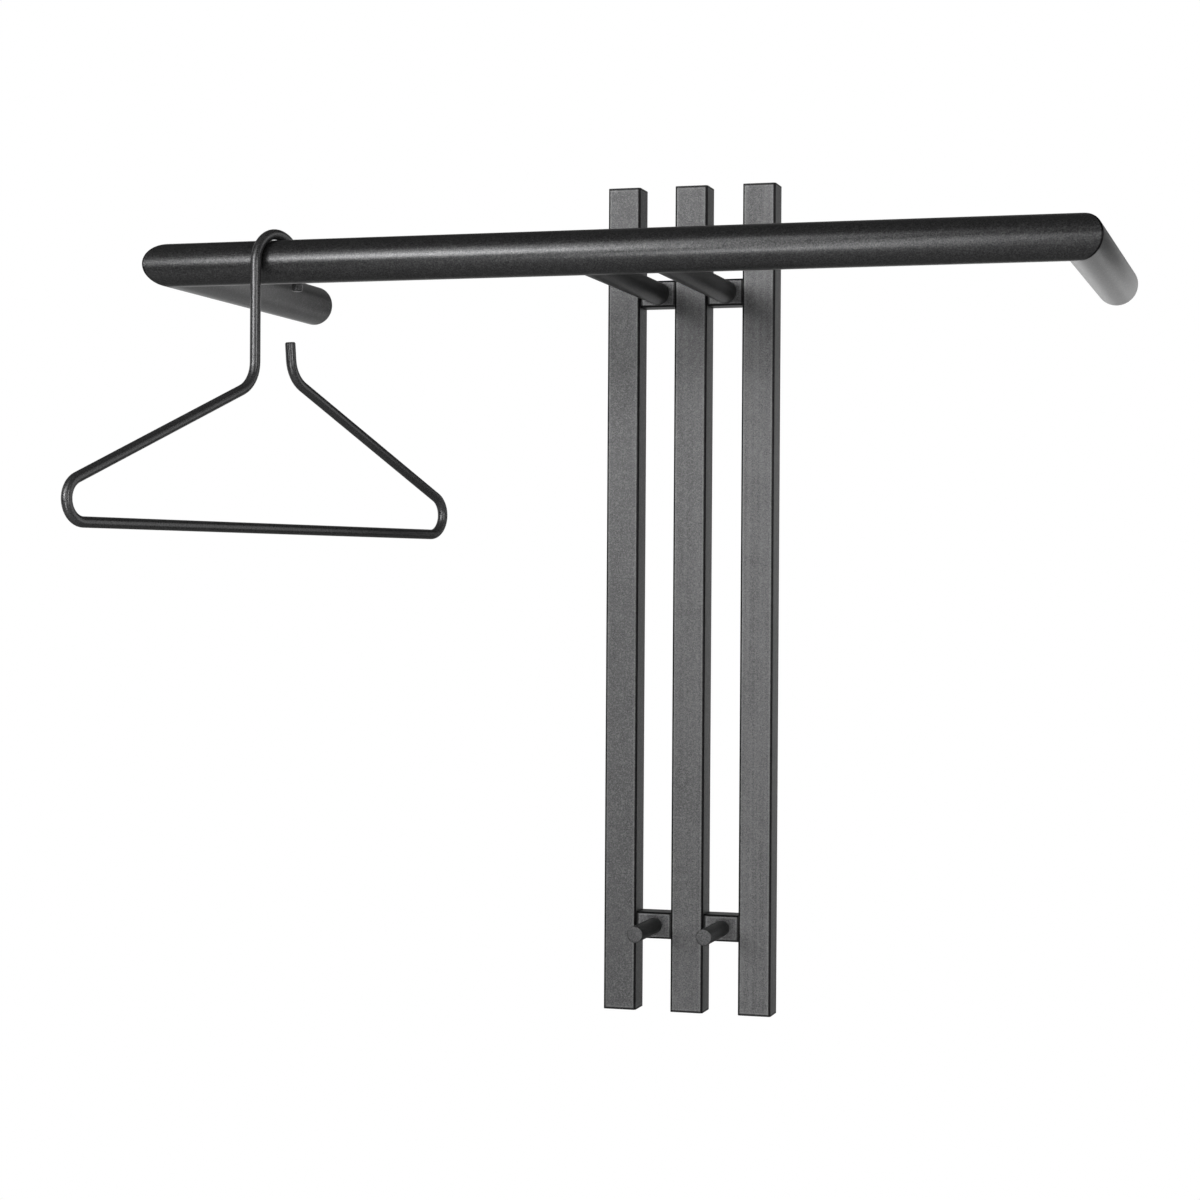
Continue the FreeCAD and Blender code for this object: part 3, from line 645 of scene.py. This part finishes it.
class RACK_OT_pegs(bpy.types.Operator):
    """Turn the two pegs, with a soft rim at the front"""
    bl_idname = "rack.pegs"
    bl_label = "Pegs"

    def execute(self, context):
        shape = context.scene.rack_shape
        low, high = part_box("peg_left")
        middle = (low + high) / 2
        radius, length = (high.x - low.x) / 2, high.y - low.y
        deselect()
        bpy.ops.mesh.primitive_cylinder_add(
            vertices=PEG_SIDES, radius=radius, depth=length, end_fill_type="NGON", location=middle,
            rotation=(math.pi / 2, 0.0, 0.0))
        peg = context.active_object
        bpy.ops.object.transform_apply(location=True, rotation=True, scale=True)
        corners = peg.data.vertices
        pick(peg, "edges", lambda edge: all(corners[v].co.y < middle.y for v in edge.vertices))
        bpy.ops.mesh.bevel(offset=shape.peg_rim, segments=PEG_RIM_STEPS, affect="EDGES")
        leave_edit()
        pick(peg, "polygons", lambda face: face.normal.y < -0.99)
        bpy.ops.mesh.inset(thickness=radius * PEG_FACE_INSET)
        leave_edit()
        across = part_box("peg_right")[0] - low
        select_only(peg)
        bpy.ops.object.duplicate(linked=False)
        twin = context.active_object
        bpy.ops.transform.translate(value=across)
        for piece, side in ((peg, "left"), (twin, "right")):
            settle(piece, f"turned_peg_{side}", "rack", "Frame Powder Coat")
            bpy.ops.object.shade_smooth_by_angle(angle=SMOOTH_ANGLE)
            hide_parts(f"peg_{side}")
        return {"FINISHED"}


class RACK_OT_welds(bpy.types.Operator):
    """Lay a thin weld round each arm where it meets the rail"""
    bl_idname = "rack.welds"
    bl_label = "Arm Welds"

    def execute(self, context):
        shape = context.scene.rack_shape
        rail = bpy.data.objects["rail_and_returns"]
        for side, across in (("left", ARM_LINE), ("right", -ARM_LINE)):
            deselect()
            bpy.ops.mesh.primitive_circle_add(
                vertices=ARM_WELD_SIDES, radius=ARM_RADIUS, fill_type="NOTHING",
                location=(across, RAIL_LINE + 2 * RAIL_RADIUS, 0.0), rotation=(math.pi / 2, 0.0, 0.0))
            weld = context.active_object
            bpy.ops.object.transform_apply(location=True, rotation=True, scale=True)
            apply_modifier(
                weld, "SHRINKWRAP", target=rail, wrap_method="PROJECT",
                use_project_x=False, use_project_y=True, use_project_z=False,
                use_negative_direction=True, use_positive_direction=False)
            bpy.ops.object.convert(target="CURVE")
            weld.data.bevel_depth = shape.weld_radius
            weld.data.bevel_resolution = ARM_WELD_STEPS
            bpy.ops.object.convert(target="MESH")
            edit()
            bpy.ops.mesh.select_all(action="SELECT")
            bpy.ops.mesh.remove_doubles(threshold=WELDING_GAP)
            bpy.ops.mesh.normals_make_consistent(inside=False)
            leave_edit()
            settle(weld, f"arm_weld_{side}", "rack", "Frame Powder Coat")
            bpy.ops.object.shade_smooth_by_angle(angle=WELD_SMOOTH_ANGLE)
        return {"FINISHED"}


class RACK_OT_studio(bpy.types.Operator):
    """Set the floor, the soft light and the camera"""
    bl_idname = "rack.studio"
    bl_label = "Studio"

    def execute(self, context):
        studio = context.scene.rack_studio
        make_floor(studio)
        make_lights(studio)
        make_room(studio)
        make_camera()
        context.scene.view_settings.view_transform = "Standard"
        return {"FINISHED"}


def ray_kinds(tree):
    """Tell the camera's own rays, and those that a coat mirrors or glass lets through."""
    path = tree.nodes.new("ShaderNodeLightPath")
    mirrored = math_node(
        tree, "MAXIMUM", path.outputs["Is Glossy Ray"], path.outputs["Is Transmission Ray"])
    return path.outputs["Is Camera Ray"], mirrored


def make_floor(studio):
    """Lay a pale floor that the camera sees turn white towards its rim."""
    deselect()
    bpy.ops.mesh.primitive_circle_add(
        vertices=FLOOR_SIDES, radius=FLOOR_RADIUS, fill_type="NGON",
        location=(0.0, 0.0, -studio.floor_drop))
    floor = bpy.context.active_object
    floor.name = "studio_floor"
    bpy.ops.object.transform_apply(location=True, rotation=True, scale=True)
    material = bpy.data.materials.new("Studio Floor")
    material.use_nodes = True
    tree = material.node_tree
    shader = next(n for n in tree.nodes if n.type == "BSDF_PRINCIPLED")
    out = next(n for n in tree.nodes if n.type == "OUTPUT_MATERIAL")
    shader.inputs["Base Color"].default_value = (*studio.floor_colour, 1.0)
    shader.inputs["Roughness"].default_value = FLOOR_ROUGHNESS
    white = tree.nodes.new("ShaderNodeEmission")
    where = tree.nodes.new("ShaderNodeTexCoord")
    across = add_node(tree, "ShaderNodeSeparateXYZ", Vector=where.outputs["Object"])
    flat = add_node(tree, "ShaderNodeCombineXYZ", X=across.outputs["X"], Y=across.outputs["Y"])
    distance = add_node(tree, "ShaderNodeVectorMath", {"operation": "LENGTH"})
    tree.links.new(flat.outputs["Vector"], distance.inputs[0])
    whiteness = spread(tree, distance.outputs["Value"], *FLOOR_FADE, FLOOR_NEAR_WHITE, 1.0)
    camera, mirrored = ray_kinds(tree)
    mirrored = math_node(tree, "MULTIPLY", mirrored, studio.floor_in_coat)
    share = math_node(tree, "MULTIPLY", whiteness, math_node(tree, "ADD", camera, mirrored))
    mix = tree.nodes.new("ShaderNodeMixShader")
    tree.links.new(share, mix.inputs["Fac"])
    tree.links.new(shader.outputs["BSDF"], mix.inputs[1])
    tree.links.new(white.outputs["Emission"], mix.inputs[2])
    tree.links.new(mix.outputs["Shader"], out.inputs["Surface"])
    floor.data.materials.append(material)


def add_softbox(name, azimuth, elevation, distance, width, height, level):
    """A soft rectangular light that faces the rack, of an even brightness."""
    data = bpy.data.lights.new(name, "AREA")
    data.shape = "RECTANGLE"
    data.size = width
    data.size_y = height
    data.energy = level * math.pi * width * height
    lamp = bpy.data.objects.new(name, data)
    bpy.context.scene.collection.objects.link(lamp)
    across, up = math.radians(azimuth), math.radians(elevation)
    way = Vector((math.sin(across) * math.cos(up), -math.cos(across) * math.cos(up), math.sin(up)))
    lamp.location = RACK_MIDDLE + way * distance
    lamp.rotation_euler = (-way).to_track_quat("-Z", "Y").to_euler()


def make_lights(studio):
    for name, azimuth, elevation, width, height, level in LIGHTS:
        add_softbox(
            name, azimuth, elevation, studio.lamp_distance, width, height, level * studio.light_level)


def window(tree, value, low, high):
    """One inside a range and nothing outside it, with soft edges."""
    rise = spread(tree, value, low - PANEL_SOFTNESS, low + PANEL_SOFTNESS)
    fall = spread(tree, value, high + PANEL_SOFTNESS, high - PANEL_SOFTNESS)
    return math_node(tree, "MULTIPLY", rise, fall)


def make_room(studio):
    """White to the camera; mirrored or seen through glass, its white is dimmer away from the wall."""
    world = bpy.data.worlds.new("Studio Room")
    bpy.context.scene.world = world
    world.use_nodes = True
    tree = world.node_tree
    tree.nodes.clear()
    where = tree.nodes.new("ShaderNodeTexCoord")
    way = add_node(tree, "ShaderNodeSeparateXYZ", Vector=where.outputs["Generated"])
    rightwards, upwards = way.outputs["X"], way.outputs["Z"]
    sideways = math_node(tree, "ABSOLUTE", rightwards)
    behind = window(tree, way.outputs["Y"], 0.0, OPEN_END)
    ceiling_from, ceiling_level = CEILING
    ceiling = window(tree, upwards, ceiling_from, OPEN_END)
    total = math_node(tree, "MULTIPLY", ceiling, ceiling_level)
    off_middle = add_node(tree, "ShaderNodeCombineXYZ", X=rightwards, Y=upwards)
    reach = add_node(tree, "ShaderNodeVectorMath", {"operation": "LENGTH"})
    tree.links.new(off_middle.outputs["Vector"], reach.inputs[0])
    wall_reach, wall_level = WALL
    wall = math_node(
        tree, "MULTIPLY", window(tree, reach.outputs["Value"], -1.0, wall_reach), behind)
    total = math_node(tree, "ADD", total, math_node(tree, "MULTIPLY", wall, wall_level))
    for axis, panels in ((sideways, MIDDLE_PANELS), (rightwards, SIDE_PANELS)):
        for low, high, bottom, top, level in panels:
            share = math_node(
                tree, "MULTIPLY", window(tree, axis, low, high), window(tree, upwards, bottom, top))
            share = math_node(tree, "MULTIPLY", share, behind)
            total = math_node(tree, "ADD", total, math_node(tree, "MULTIPLY", share, level))
    camera, mirrored = ray_kinds(tree)
    total = math_node(tree, "MULTIPLY", total, studio.room_level)
    seen = math_node(tree, "ADD", camera, math_node(tree, "MULTIPLY", total, mirrored))
    white = add_node(tree, "ShaderNodeBackground", Color=WHITE, Strength=seen)
    out = tree.nodes.new("ShaderNodeOutputWorld")
    tree.links.new(white.outputs["Background"], out.inputs["Surface"])


def make_camera():
    """Stand the camera where the photograph was taken."""
    level = Vector((-math.sin(CAMERA_YAW), math.cos(CAMERA_YAW), 0.0))
    forward = level * math.cos(CAMERA_PITCH) + Vector((0.0, 0.0, math.sin(CAMERA_PITCH)))
    right = Vector((math.cos(CAMERA_YAW), math.sin(CAMERA_YAW), 0.0))
    up = right.cross(forward)
    across = right * math.cos(CAMERA_ROLL) + up * math.sin(CAMERA_ROLL)
    upward = up * math.cos(CAMERA_ROLL) - right * math.sin(CAMERA_ROLL)
    data = bpy.data.cameras.new("photo_camera")
    data.lens = CAMERA_LENS
    data.sensor_width = CAMERA_SENSOR
    camera = bpy.data.objects.new("photo_camera", data)
    bpy.context.scene.collection.objects.link(camera)
    turn = Matrix((across, upward, -forward)).transposed()
    camera.matrix_world = Matrix.Translation(CAMERA_PLACE) @ turn.to_4x4()
    bpy.context.scene.camera = camera


# The panel in the sidebar

class RACK_PT_sidebar(bpy.types.Panel):
    """Coat rack pieces, finishes and studio"""
    bl_idname = "RACK_PT_sidebar"
    bl_label = "Wall Coat Rack"
    bl_space_type = "VIEW_3D"
    bl_region_type = "UI"
    bl_category = "Coat Rack"

    def draw(self, context):
        layout = self.layout
        scene = context.scene
        for title, group, operators in (
                ("Finish", scene.rack_finish, (RACK_OT_coats,)),
                ("Pieces", scene.rack_shape, (RACK_OT_rail, RACK_OT_pegs, RACK_OT_welds)),
                ("Studio", scene.rack_studio, (RACK_OT_studio,))):
            box = layout.box()
            box.label(text=title)
            for name in group.__annotations__:
                box.prop(group, name)
            for operator in operators:
                box.operator(operator.bl_idname)


CLASSES = (
    RackShape, RackFinish, RackStudio, RACK_OT_coats, RACK_OT_rail, RACK_OT_pegs, RACK_OT_welds,
    RACK_OT_studio, RACK_PT_sidebar)


def register():
    for kind in CLASSES:
        bpy.utils.register_class(kind)
    bpy.types.Scene.rack_shape = PointerProperty(type=RackShape)
    bpy.types.Scene.rack_finish = PointerProperty(type=RackFinish)
    bpy.types.Scene.rack_studio = PointerProperty(type=RackStudio)


def unregister():
    del bpy.types.Scene.rack_studio
    del bpy.types.Scene.rack_finish
    del bpy.types.Scene.rack_shape
    for kind in reversed(CLASSES):
        bpy.utils.unregister_class(kind)


def main():
    register()
    bpy.ops.rack.coats()
    bpy.ops.rack.rail()
    bpy.ops.rack.pegs()
    bpy.ops.rack.welds()
    bpy.ops.rack.studio()


if __name__ == "__main__":
    main()
